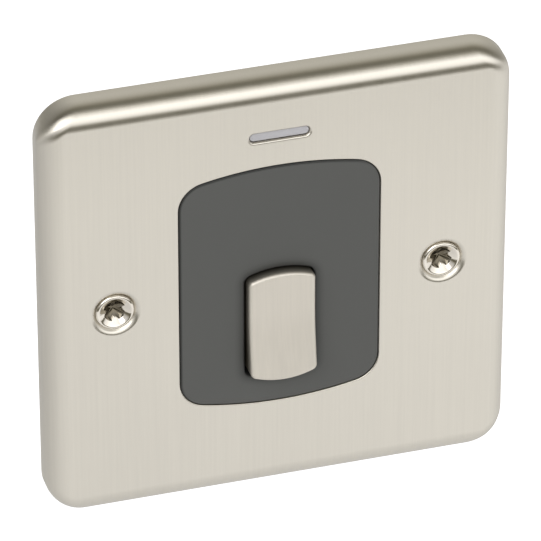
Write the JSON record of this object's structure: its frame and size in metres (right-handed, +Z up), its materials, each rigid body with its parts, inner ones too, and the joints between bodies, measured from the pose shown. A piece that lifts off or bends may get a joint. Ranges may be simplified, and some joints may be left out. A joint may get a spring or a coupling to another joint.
{
  "type": "double pole switch",
  "caption": "Flush wall switch with a brushed steel plate, grey insert, rocker, pilot lamp and a two-pole see-saw contact mechanism behind it.",
  "frame": {"origin": "on the wall plane, midway between the two fixing screws", "axes": "+Z up, +X to the right of someone facing the switch, +Y into the wall along the fixing screws"},
  "size_m": [0.086, 0.0297, 0.086],
  "materials": {
    "brushed_steel": "fine vertical brushing",
    "rocker_steel": "fine brushing along the rocker",
    "chrome": "bright plated",
    "insert_grey": "fine matt moulding",
    "lens": "clear moulding",
    "white_moulding": "moulded, matt",
    "dolly": "moulded, matt black",
    "brass": "machined",
    "zinc_steel": "zinc plated",
    "copper": "stamped copper alloy",
    "silver": "silver contact alloy",
    "spring_steel": "drawn wire",
    "plunger_nylon": "moulded nylon",
    "board_green": "solder resist",
    "lamp_white": "lamp encapsulation",
    "resistor_tan": "lacquer",
    "diode_black": "moulded",
    "lead_brown": "wire insulation",
    "lead_blue": "wire insulation"
  },
  "bodies": {
    "housing": {"front_plate": "brushed_steel", "plate_studs": "zinc_steel", "insert": "insert_grey", "carrier": "white_moulding", "carrier_screws": "zinc_steel", "fixing_screws": "chrome", "switch_base": "white_moulding", "base_screws": "zinc_steel", "terminal_screws": "zinc_steel", "earth_strap": "brass", "earth_terminal": "brass", "earth_screw": "zinc_steel", "pilot_lens": "lens", "pilot_board": "board_green", "pilot_lamp": "lamp_white", "pilot_resistor": "resistor_tan", "pilot_diode": "diode_black", "pilot_cover": "white_moulding", "fixed_contact_line": "silver", "fixed_contact_neutral": "silver", "supply_terminal_line": "brass", "supply_terminal_neutral": "brass", "load_terminal_line": "brass", "load_terminal_neutral": "brass", "pilot_lead_line": "lead_brown", "pilot_lead_neutral": "lead_blue"},
    "rocker": {"rocker_cap": "rocker_steel", "rocker_body": "dolly", "spring_line": "spring_steel", "spring_neutral": "spring_steel"},
    "plunger_line": {"plunger_line": "plunger_nylon"},
    "arm_line": {"contact_arm_line": "copper", "moving_contact_line": "silver"},
    "plunger_neutral": {"plunger_neutral": "plunger_nylon"},
    "arm_neutral": {"contact_arm_neutral": "copper", "moving_contact_neutral": "silver"}
  },
  "joints": [
    {"name": "rocker_tilt", "type": "hinge", "parent": "housing", "child": "rocker", "pos_m": [0, 0.001, -0.00765], "axis": [1, 0, 0], "range_deg": [0, 7.8]},
    {"name": "plunger_line_slide", "type": "slide", "parent": "rocker", "child": "plunger_line", "axis": [0, -0.9977, 0.068], "range_m": [0, 0.001], "stiffness_N_per_m": 400, "springref_m": -0.004, "deforming": ["spring_line"]},
    {"name": "arm_line_tilt", "type": "hinge", "parent": "housing", "child": "arm_line", "pos_m": [0, 0.01265, -0.00765], "axis": [1, 0, 0], "range_deg": [-15.6, 0]},
    {"name": "plunger_neutral_slide", "type": "slide", "parent": "rocker", "child": "plunger_neutral", "axis": [0, -0.9977, 0.068], "range_m": [0, 0.001], "stiffness_N_per_m": 400, "springref_m": -0.004, "deforming": ["spring_neutral"]},
    {"name": "arm_neutral_tilt", "type": "hinge", "parent": "housing", "child": "arm_neutral", "pos_m": [0, 0.01265, -0.00765], "axis": [1, 0, 0], "range_deg": [-15.6, 0]}
  ],
  "couplings": [
    {"joint": "arm_line_tilt", "follows": "rocker_tilt", "ratio": -2},
    {"joint": "arm_neutral_tilt", "follows": "rocker_tilt", "ratio": -2}
  ]
}
